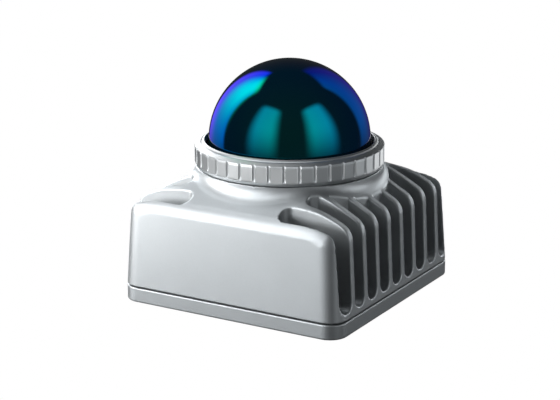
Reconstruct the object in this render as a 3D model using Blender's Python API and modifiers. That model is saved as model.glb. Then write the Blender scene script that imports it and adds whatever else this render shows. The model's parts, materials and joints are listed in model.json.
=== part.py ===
"""Lidar scanner module: a cast housing with finned sides, a coated dome held by a threaded clamp ring,
and inside them two coaxial hollow rotors, a laser and receiver, a control board and a rear inlet.

The smooth front face looks along -Y, the finned sides are at -X and +X, and the inlet is on +Y.
The origin lies on the underside of the base plate, under the middle of the dome.
Every length and place below is in millimetres; MM turns it into metres where a mesh is made.
"""
import math

import bmesh
import bpy
from mathutils import Matrix, Vector

MM = 0.001
GAP = 0.3  # air left between two neighbouring pieces

# Base plate and housing
BODY_SIDE = 65.0
BASE_TOP = 4.0
CORNER_R = 4.8
HOUSING_BOTTOM = BASE_TOP + GAP
WALL_DRAFT = 0.05  # how far a wall leans in for each millimetre of height
SIDE_ROOF = {"wall_top": 23.3, "radius": 5.0, "slope": 0.543}
FRONT_ROOF = {"wall_top": 24.4, "radius": 4.5, "slope": 0.48}
ROOF_TOP = 31.3
HOUSING_LEVELS = [HOUSING_BOTTOM, 23.3, 25.0, 26.5, 27.7, 28.5, ROOF_TOP]
CORNER_GROWTH = 0.45  # how much rounder a corner gets for each millimetre above the wall
CAVITY_HALF = (22.3, 29.3)
CAVITY_TOP = 22.0
LEDGE_R = 18.5
LEDGE_TOP = 24.0
NECK_BORE_R = 21.0
NECK_TOP = 35.9
THREAD_R = 23.4

# Cooling slots
SLOT_COUNT = 9
SLOT_PITCH = 6.83
SLOT_WIDTH = 4.9
SLOT_FLOOR_X = 25.2
SLOT_BOTTOM = 5.9
SLOT_SCOOP_R = 7.0
SLOT_ROOF_FLOOR = 25.6
SLOT_INNER_X = (13.3, 17.3)  # where the outermost and the next slot end on the roof
SLOT_NECK_R = 25.5  # the other slots stop at this radius, against the neck

# Clamp ring and dome
RING_R = 25.04
RING_BOTTOM = 34.3
RING_EDGE_Z = 39.5  # where the facets meet the sloped top
RING_TOP = 40.8
RING_FACETS = 40
LIP_R = 22.4
LIP_BOTTOM = 39.0
DOME_R = 21.35
DOME_WALL = 1.4
DOME_CENTRE_Z = 40.5
DOME_FLANGE_R = 23.1
DOME_FLANGE_Z = (NECK_TOP + GAP, 37.8)
SEAL_R = 22.4
SEAL_WIRE_R = 0.35

# Fasteners and their places
CORNER_SCREW_AT = 25.6
MOUNT_HOLE_AT = 20.0
MOUNT_HOLE_R = 1.25
BOARD_POSTS = [(x, y) for y in (-25.5, 19.5) for x in (-19.0, 19.0)]
FRAME_SCREW_AT = (19.5, 14.0)
VENT_AT = (0.0, 26.5)

# Boards and optics under the rotors
BOARD_BOTTOM = 8.0
BOARD_TOP = 9.6
BOARD_Y = (-28.5, 22.5)
OPTICS_PLATE = (19.7, 21.7)
FRAME_TUBE_R = (16.4, 18.0)
FRAME_TUBE_TOP = 33.0
BARREL_R = (7.0, 8.6)
BARREL_Z = (13.5, 19.4)
RECEIVER_Z = 10.6
POST_AT = 9.6

# The two rotors: height of each motor's lowest face
PRISM_MOTOR_Z = 21.9
MIRROR_MOTOR_Z = 27.4
SLEEVE_BORE_R = 7.6
HUB_FLANGE_Z = (35.2, 36.4)
HUB_FLANGE_R = 17.5
MIRROR_CENTRE = (1.0, 45.0)
MIRROR_SIZE = (22.0, 17.0, 2.0)

# Rear inlet, a round threaded connector along +Y
INLET_Z = 13.9
INLET_R = 6.0
INLET_END_Y = 40.5
SPOT_FACE_Y = 31.3

COLOURS = {
    "cast_silver": ((0.62, 0.65, 0.67), 0.42, 0.9),
    "machined_silver": ((0.72, 0.74, 0.75), 0.3, 1.0),
    "coated_window": ((0.01, 0.07, 0.09), 0.08, 0.6),
    "black_rubber": ((0.02, 0.02, 0.02), 0.8, 0.0),
    "steel": ((0.55, 0.55, 0.56), 0.3, 1.0),
    "dark_steel": ((0.14, 0.14, 0.15), 0.4, 1.0),
    "black_plastic": ((0.03, 0.03, 0.03), 0.5, 0.0),
    "gold": ((0.85, 0.62, 0.25), 0.25, 1.0),
    "green_board": ((0.02, 0.17, 0.09), 0.45, 0.0),
    "pad_grey": ((0.45, 0.52, 0.6), 0.9, 0.0),
    "chip_black": ((0.03, 0.03, 0.035), 0.45, 0.0),
    "copper": ((0.75, 0.35, 0.18), 0.35, 1.0),
    "black_anodised": ((0.03, 0.03, 0.035), 0.4, 0.7),
    "glass": ((0.75, 0.88, 0.9), 0.05, 0.0),
    "magnet": ((0.35, 0.35, 0.36), 0.35, 1.0),
    "mirror": ((0.9, 0.85, 0.7), 0.03, 1.0),
    "brass": ((0.75, 0.6, 0.3), 0.3, 1.0),
    "amber_film": ((0.6, 0.3, 0.05), 0.4, 0.0),
}


def clear_scene():
    for obj in list(bpy.data.objects):
        bpy.data.objects.remove(obj, do_unlink=True)


def new_collection(name):
    collection = bpy.data.collections.new(name)
    bpy.context.scene.collection.children.link(collection)
    return collection


def make_material(name, look):
    colour, roughness, metallic = COLOURS[look]
    material = bpy.data.materials.new(name)
    material.use_nodes = True
    shader = material.node_tree.nodes["Principled BSDF"]
    shader.inputs["Base Color"].default_value = (*colour, 1.0)
    shader.inputs["Roughness"].default_value = roughness
    shader.inputs["Metallic"].default_value = metallic
    return material


def place(name, mesh, look):
    """Link a mesh as a part of the model, or as a cutter when it has no look."""
    obj = bpy.data.objects.new(name, mesh)
    if look is None:
        CUTTERS.objects.link(obj)
        obj.hide_render = True
        obj.display_type = "WIRE"
        return obj
    MODEL.objects.link(obj)
    mesh.materials.append(make_material(name, look))
    return obj


def finish_mesh(name, bm, look):
    mesh = bpy.data.meshes.new(name)
    bmesh.ops.recalc_face_normals(bm, faces=bm.faces)
    bm.to_mesh(mesh)
    bm.free()
    if look is not None:
        mesh.shade_smooth()
        mesh.set_sharp_from_angle(angle=math.radians(35))
    return place(name, mesh, look)


def cut(obj, tool, operation="DIFFERENCE"):
    modifier = obj.modifiers.new(tool.name, "BOOLEAN")
    modifier.operation = operation
    modifier.object = tool


def join(obj, tool):
    cut(obj, tool, "UNION")


def turned(name, profile, look, steps=24, closed=False):
    """Turn (radius, height) points about Z; they run top to bottom down the outer side."""
    mesh = bpy.data.meshes.new(name)
    edges = [(i, i + 1) for i in range(len(profile) - 1)]
    if closed:
        edges.append((len(profile) - 1, 0))
    mesh.from_pydata([(r * MM, 0.0, z * MM) for r, z in profile], edges, [])
    obj = place(name, mesh, look)
    screw = obj.modifiers.new("turn", "SCREW")
    screw.steps = steps
    screw.render_steps = steps
    screw.use_merge_vertices = True
    screw.merge_threshold = 1e-6
    return obj


def tube(name, inner_r, outer_r, bottom, top, look, steps=24):
    profile = [(outer_r, top), (outer_r, bottom), (inner_r, bottom), (inner_r, top)]
    return turned(name, profile, look, steps, closed=True)


def box(name, low, high, look, bevel=0.0):
    """A box between two corners, with its edges bevelled where a width is given."""
    bm = bmesh.new()
    bmesh.ops.create_cube(bm, size=1.0)
    centre = [(a + b) / 2 * MM for a, b in zip(low, high)]
    size = [(b - a) * MM for a, b in zip(low, high)]
    bmesh.ops.scale(bm, vec=size, verts=bm.verts)
    if bevel:
        bmesh.ops.bevel(bm, geom=bm.edges[:], offset=bevel * MM, segments=1, affect="EDGES")
    obj = finish_mesh(name, bm, look)
    obj.location = centre
    return obj


def cylinders(name, places, radius, low, high, look, segments=12):
    """Upright cylinders at each (x, y), in one mesh."""
    bm = bmesh.new()
    for x, y in places:
        spot = Matrix.Translation((x * MM, y * MM, (low + high) / 2 * MM))
        bmesh.ops.create_cone(bm, cap_ends=True, segments=segments, radius1=radius * MM,
                              radius2=radius * MM, depth=(high - low) * MM, matrix=spot)
    return finish_mesh(name, bm, look)


def rounded_rectangle(half_x, half_y, radius, steps=3):
    """Points around a rectangle with round corners, counter-clockwise."""
    points = []
    for turn, (sx, sy) in enumerate([(1, 1), (-1, 1), (-1, -1), (1, -1)]):
        for i in range(steps + 1):
            angle = math.radians(90 * (turn + i / steps))
            points.append((sx * (half_x - radius) + radius * math.cos(angle),
                           sy * (half_y - radius) + radius * math.sin(angle)))
    return points


def loft(name, sections, look):
    """Join sections, each a (height, points) pair with as many points as the others, and cap the ends."""
    bm = bmesh.new()
    rings = [[bm.verts.new((x * MM, y * MM, z * MM)) for x, y in points] for z, points in sections]
    for lower, upper in zip(rings, rings[1:]):
        for i in range(len(lower)):
            j = (i + 1) % len(lower)
            bm.faces.new((lower[i], lower[j], upper[j], upper[i]))
    bm.faces.new(list(reversed(rings[0])))
    bm.faces.new(rings[-1])
    return finish_mesh(name, bm, look)


def slab(name, half, radius, bottom, top, look, edge=0.0, steps=3, centre=(0.0, 0.0)):
    """A rounded rectangular plate, with its top and bottom edges broken by a small chamfer."""
    levels = [(bottom, edge), (bottom + edge, 0.0), (top - edge, 0.0), (top, edge)]
    if not edge:
        levels = [(bottom, 0.0), (top, 0.0)]
    sections = []
    for z, inset in levels:
        outline = rounded_rectangle(half[0] - inset, half[1] - inset, radius - inset, steps)
        sections.append((z, [(x + centre[0], y + centre[1]) for x, y in outline]))
    return loft(name, sections, look)


def prism_xz(name, outline, low_y, high_y, look):
    """An outline in X and Z, made solid from one Y to the other."""
    bm = bmesh.new()
    near = [bm.verts.new((x * MM, low_y * MM, z * MM)) for x, z in outline]
    far = [bm.verts.new((x * MM, high_y * MM, z * MM)) for x, z in outline]
    bm.faces.new(near)
    bm.faces.new(list(reversed(far)))
    for i in range(len(near)):
        j = (i + 1) % len(near)
        bm.faces.new((near[j], near[i], far[i], far[j]))
    return finish_mesh(name, bm, look)


def lay_along_y(obj, y=0.0, z=0.0):
    """Turn a piece made about Z so that its top looks along +Y."""
    obj.rotation_euler = (math.radians(-90), 0, 0)
    obj.location = (0, y * MM, z * MM)


def corners(x, y):
    return [(x, y), (-x, y), (-x, -y), (x, -y)]


def screw(name, x, y, head, shank, socket_r, look="steel", points_up=True):
    """A socket-head screw: head and shank are (radius, low, high); the socket is in the head's end."""
    head_r, head_low, head_high = head
    shank_r, shank_low, shank_high = shank
    if points_up:
        profile = [(0, shank_high), (shank_r, shank_high), (shank_r, head_high), (head_r, head_high),
                   (head_r, head_low), (0, head_low)]
        socket_z = (head_low - 0.5, head_low + 0.8)
    else:
        profile = [(0, head_high), (head_r, head_high), (head_r, head_low), (shank_r, head_low),
                   (shank_r, shank_low), (0, shank_low)]
        socket_z = (head_high - 0.8, head_high + 0.5)
    obj = turned(name, profile, look, steps=10)
    obj.location = (x * MM, y * MM, 0)
    socket = cylinders(name + "_socket", [(x, y)], socket_r, *socket_z, None, segments=6)
    cut(obj, socket)


# Housing

def half_width(z, wall_top, radius, slope):
    """Half the housing's width at height z: a leaning wall, a round shoulder, then a sloped roof."""
    wall = BODY_SIDE / 2 - WALL_DRAFT * (min(z, wall_top) - BASE_TOP)
    if z <= wall_top:
        return wall
    centre_x = wall - radius
    roof_angle = math.atan(slope)
    tangent_x = centre_x + radius * math.sin(roof_angle)
    tangent_z = wall_top + radius * math.cos(roof_angle)
    if z <= tangent_z:
        return centre_x + math.sqrt(radius ** 2 - (z - wall_top) ** 2)
    return tangent_x - (z - tangent_z) / slope


def housing_body():
    sections = []
    for z in HOUSING_LEVELS:
        half_x, half_y = half_width(z, **SIDE_ROOF), half_width(z, **FRONT_ROOF)
        radius = CORNER_R + max(0.0, z - SIDE_ROOF["wall_top"]) * CORNER_GROWTH
        sections.append((z, rounded_rectangle(half_x, half_y, radius)))
    return loft("upper_housing", sections, "cast_silver")


def slot_section(inner_x, centre_y):
    """A slot in plan: a round inner end at inner_x, open past the wall."""
    radius = SLOT_WIDTH / 2
    points = [(40.0, centre_y - radius), (40.0, centre_y + radius)]
    for i in range(5):
        angle = math.radians(90 + 180 * i / 4)
        points.append((inner_x + radius + radius * math.cos(angle), centre_y + radius * math.sin(angle)))
    return points


def slot_inner_x(index):
    """Where a slot ends on the roof, from its place counted from either outer slot."""
    place = min(index, SLOT_COUNT - 1 - index)
    if place < len(SLOT_INNER_X):
        return SLOT_INNER_X[place]
    y = SLOT_PITCH * (index - (SLOT_COUNT - 1) / 2)
    return min(math.sqrt(SLOT_NECK_R ** 2 - y ** 2), SLOT_FLOOR_X)


def slot_sections(index):
    """Plan sections of one slot, up its scooped floor, its upright floor and across the roof."""
    y = SLOT_PITCH * (index - (SLOT_COUNT - 1) / 2)
    scoop_x, scoop_z = SLOT_FLOOR_X + SLOT_SCOOP_R, SLOT_BOTTOM + SLOT_SCOOP_R
    sections = []
    for i in range(4):
        angle = math.radians(90 * (1 - i / 3))
        inner_x = scoop_x - SLOT_SCOOP_R * math.cos(angle)
        sections.append((scoop_z - SLOT_SCOOP_R * math.sin(angle), slot_section(inner_x, y)))
    sections.append((SLOT_ROOF_FLOOR, slot_section(SLOT_FLOOR_X, y)))
    roof_x = slot_inner_x(index)
    if roof_x < SLOT_FLOOR_X:
        sections.append((SLOT_ROOF_FLOOR + 0.4, slot_section(roof_x, y)))
    sections.append((NECK_TOP + 4.0, slot_section(roof_x, y)))
    return sections


def cut_slots(housing):
    for index in range(SLOT_COUNT):
        sections = slot_sections(index)
        for side in (-1, 1):
            mirrored = [(z, [(side * x, y) for x, y in points]) for z, points in sections]
            cut(housing, loft(f"slot_{index}_{'left' if side < 0 else 'right'}", mirrored, None))


def upper_housing():
    housing = housing_body()
    neck = turned("neck_stock", [(0, NECK_TOP), (THREAD_R, NECK_TOP), (THREAD_R, RING_BOTTOM - GAP),
                                 (24.7, RING_BOTTOM - GAP), (24.9, 32.5), (25.5, 31.4), (26.4, 29.9),
                                 (26.4, 27.0), (0, 27.0)], None, 32)
    join(housing, neck)
    cut_slots(housing)
    cut(housing, slab("cavity", CAVITY_HALF, 3.0, 0.0, CAVITY_TOP, None))
    cut(housing, cylinders("ledge_opening", [(0, 0)], LEDGE_R, CAVITY_TOP - 1, LEDGE_TOP + 1, None, 32))
    cut(housing, cylinders("neck_bore", [(0, 0)], NECK_BORE_R, LEDGE_TOP, NECK_TOP + 2, None, 32))
    cut(housing, tube("seal_groove", SEAL_R - 0.5, SEAL_R + 0.5, NECK_TOP - 0.9, NECK_TOP + 1, None, 32))
    cut(housing, cylinders("corner_tapped_holes", corners(CORNER_SCREW_AT, CORNER_SCREW_AT), 1.5,
                           0.0, 7.3, None))
    cut(housing, cylinders("frame_tapped_holes", corners(*FRAME_SCREW_AT), 1.4, 20.0, 24.9, None))
    spot_face = cylinders("inlet_spot_face", [(0, 0)], 8.7, SPOT_FACE_Y, 36.0, None, 24)
    lay_along_y(spot_face, z=INLET_Z)
    cut(housing, spot_face)
    hole = cylinders("inlet_hole", [(0, 0)], INLET_R + GAP, 27.0, 34.0, None, 24)
    lay_along_y(hole, z=INLET_Z)
    cut(housing, hole)


def base_plate():
    plate = slab("base_plate", (BODY_SIDE / 2, BODY_SIDE / 2), CORNER_R, 0.0, BASE_TOP, "cast_silver",
                 edge=0.35)
    join(plate, slab("pad_table", (10.0, 10.0), 1.0, 3.0, 5.0, None))
    join(plate, cylinders("board_posts", BOARD_POSTS, 2.4, 3.0, BOARD_BOTTOM - GAP, None))
    cut(plate, cylinders("post_holes", BOARD_POSTS, 1.3, 4.4, 9.0, None))
    groove = slab("gasket_groove", (31.3, 31.3), 3.6, 3.0, BASE_TOP + 1, None)
    cut(groove, slab("groove_island", (29.8, 29.8), 2.4, 2.0, BASE_TOP + 2, None))
    cut(plate, groove)
    at = corners(CORNER_SCREW_AT, CORNER_SCREW_AT)
    cut(plate, cylinders("corner_counterbores", at, 2.5, -1.0, 1.9, None))
    cut(plate, cylinders("corner_holes", at, 1.5, 1.0, BASE_TOP + 1, None))
    cut(plate, cylinders("mount_holes", corners(MOUNT_HOLE_AT, MOUNT_HOLE_AT), MOUNT_HOLE_R, -1.0, 3.2, None))
    cut(plate, cylinders("vent_pocket", [VENT_AT], 3.0, -1.0, 1.4, None))
    cut(plate, cylinders("vent_hole", [VENT_AT], 0.8, 0.0, BASE_TOP + 1, None, 10))


def base_gasket():
    gasket = slab("base_gasket", (31.0, 31.0), 3.3, BASE_TOP - 0.7, BASE_TOP, "black_rubber")
    cut(gasket, slab("gasket_inside", (30.1, 30.1), 2.7, 2.0, BASE_TOP + 2, None))


def base_fasteners():
    for number, (x, y) in enumerate(corners(CORNER_SCREW_AT, CORNER_SCREW_AT), start=1):
        screw(f"base_screw_{number}", x, y, head=(2.15, 0.3, 1.6), shank=(1.2, 1.6, 7.0), socket_r=1.0)
    vent = turned("vent_plug", [(0, 1.1), (2.6, 1.1), (2.7, 0.6), (2.4, 0.25), (0, 0.25)], "black_rubber", 20)
    vent.location = (VENT_AT[0] * MM, VENT_AT[1] * MM, 0)


# Clamp ring, dome and seals

def clamp_ring():
    inner = THREAD_R + GAP
    profile = [(LIP_R, RING_TOP), (RING_R, RING_EDGE_Z), (RING_R, RING_BOTTOM), (inner, RING_BOTTOM),
               (inner, LIP_BOTTOM), (LIP_R, LIP_BOTTOM)]
    turned("clamp_ring", profile, "machined_silver", RING_FACETS, closed=True)
    tube("clamp_gasket", DOME_R + GAP, DOME_FLANGE_R, DOME_FLANGE_Z[1] + GAP, LIP_BOTTOM - GAP,
         "black_rubber", 32)


def arc(radius, centre_z, start, end, steps):
    """Points on a circle centred on the axis, from one angle above the horizontal to another."""
    points = []
    for i in range(steps + 1):
        angle = math.radians(start + (end - start) * i / steps)
        points.append((radius * math.cos(angle), centre_z + radius * math.sin(angle)))
    return points


def dome_window():
    outer = arc(DOME_R, DOME_CENTRE_Z, 90, 0, 10)
    inner = arc(DOME_R - DOME_WALL, DOME_CENTRE_Z, 0, 90, 8)
    outer[0] = (0.0, DOME_CENTRE_Z + DOME_R)
    inner[-1] = (0.0, DOME_CENTRE_Z + DOME_R - DOME_WALL)
    low, high = DOME_FLANGE_Z
    flange = [(DOME_R, high), (DOME_FLANGE_R, high), (DOME_FLANGE_R, low), (DOME_R - DOME_WALL, low)]
    turned("dome_window", outer + flange + inner, "coated_window", 32)


def dome_seal():
    wire = arc(SEAL_WIRE_R, NECK_TOP - 0.2, 0, -300, 5)
    turned("dome_seal", [(SEAL_R + r, z) for r, z in wire], "black_rubber", 32, closed=True)


# Rear inlet

def inlet():
    shell = [(5.6, INLET_END_Y), (INLET_R, 40.0), (INLET_R, 34.4), (8.3, 34.4), (8.3, SPOT_FACE_Y + GAP),
             (INLET_R, SPOT_FACE_Y + GAP), (INLET_R, 25.2), (4.8, 25.2), (4.8, INLET_END_Y)]
    lay_along_y(turned("inlet_shell", shell, "machined_silver", 24, closed=True), z=INLET_Z)
    insert = [(0, 35.6), (4.5, 35.6), (4.5, 25.6), (0, 25.6)]
    lay_along_y(turned("inlet_insert", insert, "black_plastic", 20), z=INLET_Z)
    inlet_contacts()
    nut = tube("inlet_nut", INLET_R + GAP, 8.0, 25.7, 28.2, "steel", 6)
    cut(nut, cylinders("nut_bore", [(0, 0)], INLET_R + GAP, 24.0, 30.0, None, 24))
    lay_along_y(nut, z=INLET_Z)
    lay_along_y(CUTTERS.objects["nut_bore"], z=INLET_Z)
    lay_along_y(tube("inlet_seal", INLET_R + GAP, 8.0, 28.5, 29.0, "black_rubber", 24), z=INLET_Z)


def inlet_contacts():
    """Twelve pins on a thin carrier: nine around three."""
    places = [(3.1 * math.cos(math.radians(40 * i)), 3.1 * math.sin(math.radians(40 * i))) for i in range(9)]
    places += [(1.2 * math.cos(math.radians(120 * i)), 1.2 * math.sin(math.radians(120 * i)))
               for i in range(3)]
    carrier = cylinders("inlet_contacts", [(0, 0)], 4.4, 35.9, 36.3, "gold", 20)
    pins = cylinders("inlet_pins", places, 0.4, 36.1, 39.3, None, 6)
    join(carrier, pins)
    lay_along_y(carrier, z=INLET_Z)
    lay_along_y(pins, z=INLET_Z)


# Control board

def main_board():
    half_y = (BOARD_Y[1] - BOARD_Y[0]) / 2
    middle_y = (BOARD_Y[0] + BOARD_Y[1]) / 2
    board = slab("main_board", (21.8, half_y), 1.5, BOARD_BOTTOM, BOARD_TOP, "green_board",
                 steps=2, centre=(0.0, middle_y))
    cut(board, cylinders("board_holes", BOARD_POSTS, 1.3, 7.0, 11.0, None))
    for number, (x, y) in enumerate(BOARD_POSTS, start=1):
        screw(f"board_screw_{number}", x, y, head=(1.9, BOARD_TOP + GAP, BOARD_TOP + GAP + 1.2),
              shank=(1.0, 4.8, 0.0), socket_r=0.8, points_up=False)


def board_parts():
    box("soc_chip", (-8.5, -8.5, 6.4), (8.5, 8.5, 7.7), "chip_black", 0.3)
    slab("thermal_pad", (9.0, 9.0), 0.8, 5.3, 6.1, "pad_grey")
    box("network_magnetics", (-19.5, -23.0, 9.9), (-8.5, -12.5, 13.6), "chip_black", 0.4)
    box("power_inductor", (9.0, -20.5, 9.9), (17.5, -12.0, 13.4), "dark_steel", 0.8)
    box("motor_driver_chip", (13.2, -6.0, 9.9), (19.2, 0.0, 10.9), "chip_black", 0.2)
    box("board_connector", (-17.6, 8.0, 9.9), (-12.6, 16.6, 12.6), "black_plastic", 0.3)


# Fixed optics

def optics_frame():
    low, high = OPTICS_PLATE
    frame = slab("optics_frame", (21.8, 19.0), 3.0, low, high, "black_anodised")
    inner, outer = FRAME_TUBE_R
    join(frame, tube("frame_tube", inner, outer, high - 0.5, FRAME_TUBE_TOP, None))
    join(frame, cylinders("receiver_posts", corners(POST_AT, POST_AT), 1.5, RECEIVER_Z + 1.5, low + 0.5,
                          None))
    cut(frame, cylinders("beam_hole", [(0, 0)], SLEEVE_BORE_R, low - 1, high + 1, None, 24))
    cut(frame, cylinders("frame_screw_holes", corners(*FRAME_SCREW_AT), 1.4, low - 1, high + 1, None))
    for number, (x, y) in enumerate(corners(*FRAME_SCREW_AT), start=1):
        screw(f"frame_screw_{number}", x, y, head=(2.0, low - GAP - 1.3, low - GAP),
              shank=(1.1, low - GAP, 24.6), socket_r=0.8)


def lens_and_receiver():
    inner, outer = BARREL_R
    bottom, top = BARREL_Z
    barrel = tube("lens_barrel", inner, outer, bottom, top, "black_anodised")
    window = cylinders("laser_window", [(0, 0)], 2.6, -12.0, -4.0, None, 16)
    window.rotation_euler = (0, math.radians(90), 0)
    window.location = (0, 0, (bottom + 2.9) * MM)
    cut(barrel, window)
    turned("receiver_lens", [(0, 19.0), (3.5, 18.7), (6.7, 17.8), (6.7, 17.2), (0, 17.2)], "glass", 24)
    slab("receiver_board", (12.0, 12.0), 1.0, RECEIVER_Z, RECEIVER_Z + 1.2, "green_board", steps=2)
    box("receiver_chip", (-3.0, -3.0, RECEIVER_Z + 1.5), (3.0, 3.0, RECEIVER_Z + 2.4), "chip_black", 0.15)


def laser_parts():
    z = BARREL_Z[0] + 2.9
    box("laser_board", (-14.6, -5.0, z - 3.6), (-13.6, 5.0, z + 3.0), "green_board")
    can = turned("laser_diode", [(0, 4.6), (1.7, 4.6), (1.7, 1.2), (2.3, 1.2), (2.3, 0), (0, 0)], "gold", 16)
    can.rotation_euler = (0, math.radians(90), 0)
    can.location = (-13.3 * MM, 0, z * MM)
    fold = box("fold_mirror", (-1.4, -1.2, -0.25), (1.4, 1.2, 0.25), "mirror")
    fold.rotation_euler = (0, math.radians(-45), 0)
    fold.location = (0, 0, (BARREL_Z[0] + 1.8) * MM)


def flex_ribbon():
    """A thin film that loops up from the board's connector and down towards the laser's side."""
    path = [(-15.9, 13.1), (-15.9, 14.9), (-16.3, 15.3), (-19.2, 15.3), (-19.6, 14.9), (-19.6, 12.9)]
    prism_xz("flex_ribbon", ribbon_outline(path, 0.2), 8.6, 16.0, "amber_film")


def ribbon_outline(path, thickness):
    """Both sides of a path in X and Z, offset square to its run."""
    sides = ([], [])
    for i, (x, z) in enumerate(path):
        x0, z0 = path[max(i - 1, 0)]
        x1, z1 = path[min(i + 1, len(path) - 1)]
        along = Vector((x1 - x0, z1 - z0)).normalized()
        for side, way in zip(sides, (0.5, -0.5)):
            side.append((x - along.y * thickness * way, z + along.x * thickness * way))
    return sides[0] + sides[1][::-1]


# Rotors

def hollow_motor(prefix, bottom, sleeve_top):
    """A slim motor and its bearing around an open sleeve, named after its rotor."""
    tube(f"{prefix}_stator", 13.0, 16.1, bottom + 0.3, bottom + 3.2, "copper")
    tube(f"{prefix}_magnet", 11.5, 12.7, bottom + 0.3, bottom + 3.2, "magnet")
    tube(f"{prefix}_bearing_outer", 13.4, 16.1, bottom + 3.5, bottom + 5.2, "steel")
    tube(f"{prefix}_bearing_inner", 9.5, 11.0, bottom + 3.5, bottom + 5.2, "steel")
    bearing_cage(f"{prefix}_bearing_cage", bottom + 3.5, bottom + 5.2)
    profile = [(9.2, sleeve_top), (9.2, bottom + 3.2), (11.2, bottom + 3.2), (11.2, bottom + 0.3),
               (SLEEVE_BORE_R, bottom + 0.3), (SLEEVE_BORE_R, sleeve_top)]
    return profile


def bearing_cage(name, low, high):
    """Ten balls held in a thin ring."""
    middle = (low + high) / 2
    cage = tube(name, 11.9, 12.5, middle - 0.4, middle + 0.4, "steel", 20)
    bm = bmesh.new()
    for i in range(10):
        angle = math.radians(36 * i + 9)
        spot = Matrix.Translation((12.1 * math.cos(angle) * MM, 12.1 * math.sin(angle) * MM, middle * MM))
        bmesh.ops.create_icosphere(bm, subdivisions=1, radius=0.8 * MM, matrix=spot)
    join(cage, finish_mesh(name + "_balls", bm, None))


def prism_rotor():
    bottom = PRISM_MOTOR_Z
    turned("prism_sleeve", hollow_motor("prism", bottom, bottom + 5.2), "black_anodised", 24, closed=True)
    wedge = cylinders("wedge_prism", [(0, 0)], SLEEVE_BORE_R - GAP, bottom + 0.9, bottom + 3.0, "glass", 24)
    for vert in wedge.data.vertices:
        if vert.co.z > (bottom + 2.0) * MM:
            vert.co.z += 0.16 * vert.co.x


def mirror_rotor():
    bottom = MIRROR_MOTOR_Z
    low, high = HUB_FLANGE_Z
    profile = hollow_motor("mirror", bottom, high)
    profile = [(SLEEVE_BORE_R, high), (HUB_FLANGE_R, high), (HUB_FLANGE_R, low), (9.2, low)] + profile[1:-1]
    turned("mirror_hub", profile, "black_anodised", 24, closed=True)
    tube("encoder_disc", 15.2, 19.4, 34.6, 34.9, "mirror")
    tube("encoder_board", 11.0, 20.2, FRAME_TUBE_TOP + GAP, FRAME_TUBE_TOP + GAP + 0.8, "green_board")
    scan_mirror(high + GAP)


def scan_mirror(floor_z):
    """A mirror leaning at 45 degrees over the hub, on a wedge-shaped carrier, with a balance weight."""
    x, z = MIRROR_CENTRE
    length, width, thickness = MIRROR_SIZE
    bm = bmesh.new()
    bmesh.ops.create_cone(bm, cap_ends=True, segments=24, radius1=MM / 2, radius2=MM / 2,
                          depth=thickness * MM)
    bmesh.ops.scale(bm, vec=(length, width, 1.0), verts=bm.verts)
    mirror = finish_mesh("scan_mirror", bm, "mirror")
    mirror.rotation_euler = (0, math.radians(-45), 0)
    back = thickness / 2
    mirror.location = ((x - back * 0.7071) * MM, 0, (z + back * 0.7071) * MM)
    face = (thickness + GAP) * 1.4142
    outline = [(-15.5, floor_z), (floor_z - z + x - face, floor_z), (5.0, 5.0 - x + z + face),
               (1.5, 5.0 - x + z + face + 1.0), (-15.5, floor_z + 4.0)]
    prism_xz("mirror_carrier", outline, -6.5, 6.5, "black_anodised")
    weight = tube("balance_weight", 11.0, 15.8, floor_z, floor_z + 2.0, "brass")
    keep = box("weight_span", (9.0, -9.5, floor_z - 1), (18.0, 9.5, floor_z + 4), None)
    cut(weight, keep, "INTERSECT")


clear_scene()
MODEL = new_collection("lidar_scanner_module")
CUTTERS = new_collection("cutters")
base_plate()
base_gasket()
base_fasteners()
upper_housing()
clamp_ring()
dome_window()
dome_seal()
inlet()
main_board()
board_parts()
optics_frame()
lens_and_receiver()
laser_parts()
flex_ribbon()
prism_rotor()
mirror_rotor()
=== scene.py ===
"""Looks of the lidar scanner module: fine shells, ring, window and inlet, their materials and the studio.

Shapes are worked out in millimetres in the part's own frame; MM turns them into metres.
"""
import json
import math

import bmesh
import bpy
import numpy as np
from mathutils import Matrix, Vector


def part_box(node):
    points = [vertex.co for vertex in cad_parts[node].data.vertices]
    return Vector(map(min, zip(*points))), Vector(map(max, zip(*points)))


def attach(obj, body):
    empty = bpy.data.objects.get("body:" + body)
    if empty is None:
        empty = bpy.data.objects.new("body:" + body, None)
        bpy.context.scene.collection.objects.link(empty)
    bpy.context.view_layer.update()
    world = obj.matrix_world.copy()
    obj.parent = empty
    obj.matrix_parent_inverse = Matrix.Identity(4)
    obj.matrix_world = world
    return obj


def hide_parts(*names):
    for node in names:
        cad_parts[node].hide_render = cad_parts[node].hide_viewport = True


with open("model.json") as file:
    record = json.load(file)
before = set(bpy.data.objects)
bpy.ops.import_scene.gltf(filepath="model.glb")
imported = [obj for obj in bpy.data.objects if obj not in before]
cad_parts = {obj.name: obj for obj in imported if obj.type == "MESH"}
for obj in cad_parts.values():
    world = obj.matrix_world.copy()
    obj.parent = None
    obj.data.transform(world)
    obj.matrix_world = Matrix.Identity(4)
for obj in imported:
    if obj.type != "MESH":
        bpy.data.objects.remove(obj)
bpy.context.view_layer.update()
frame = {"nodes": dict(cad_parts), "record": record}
MM = 0.001


def corners(node):
    """Lowest and highest corner of a CAD node, in millimetres."""
    return [[value / MM for value in corner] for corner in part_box(node)]


# Driving dimensions, read from the frame where it states them
HALF = corners("base_plate")[1][0]
BASE_TOP = 4.0
HOUSING_BOTTOM = corners("upper_housing")[0][2]
NECK_TOP = corners("upper_housing")[1][2]
RING_R = corners("clamp_ring")[1][0]
RING_BOTTOM = corners("clamp_ring")[0][2]
RING_TOP = corners("clamp_ring")[1][2]
DOME_TOP = corners("dome_window")[1][2]
INLET_END = corners("inlet_shell")[1][1]

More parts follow.
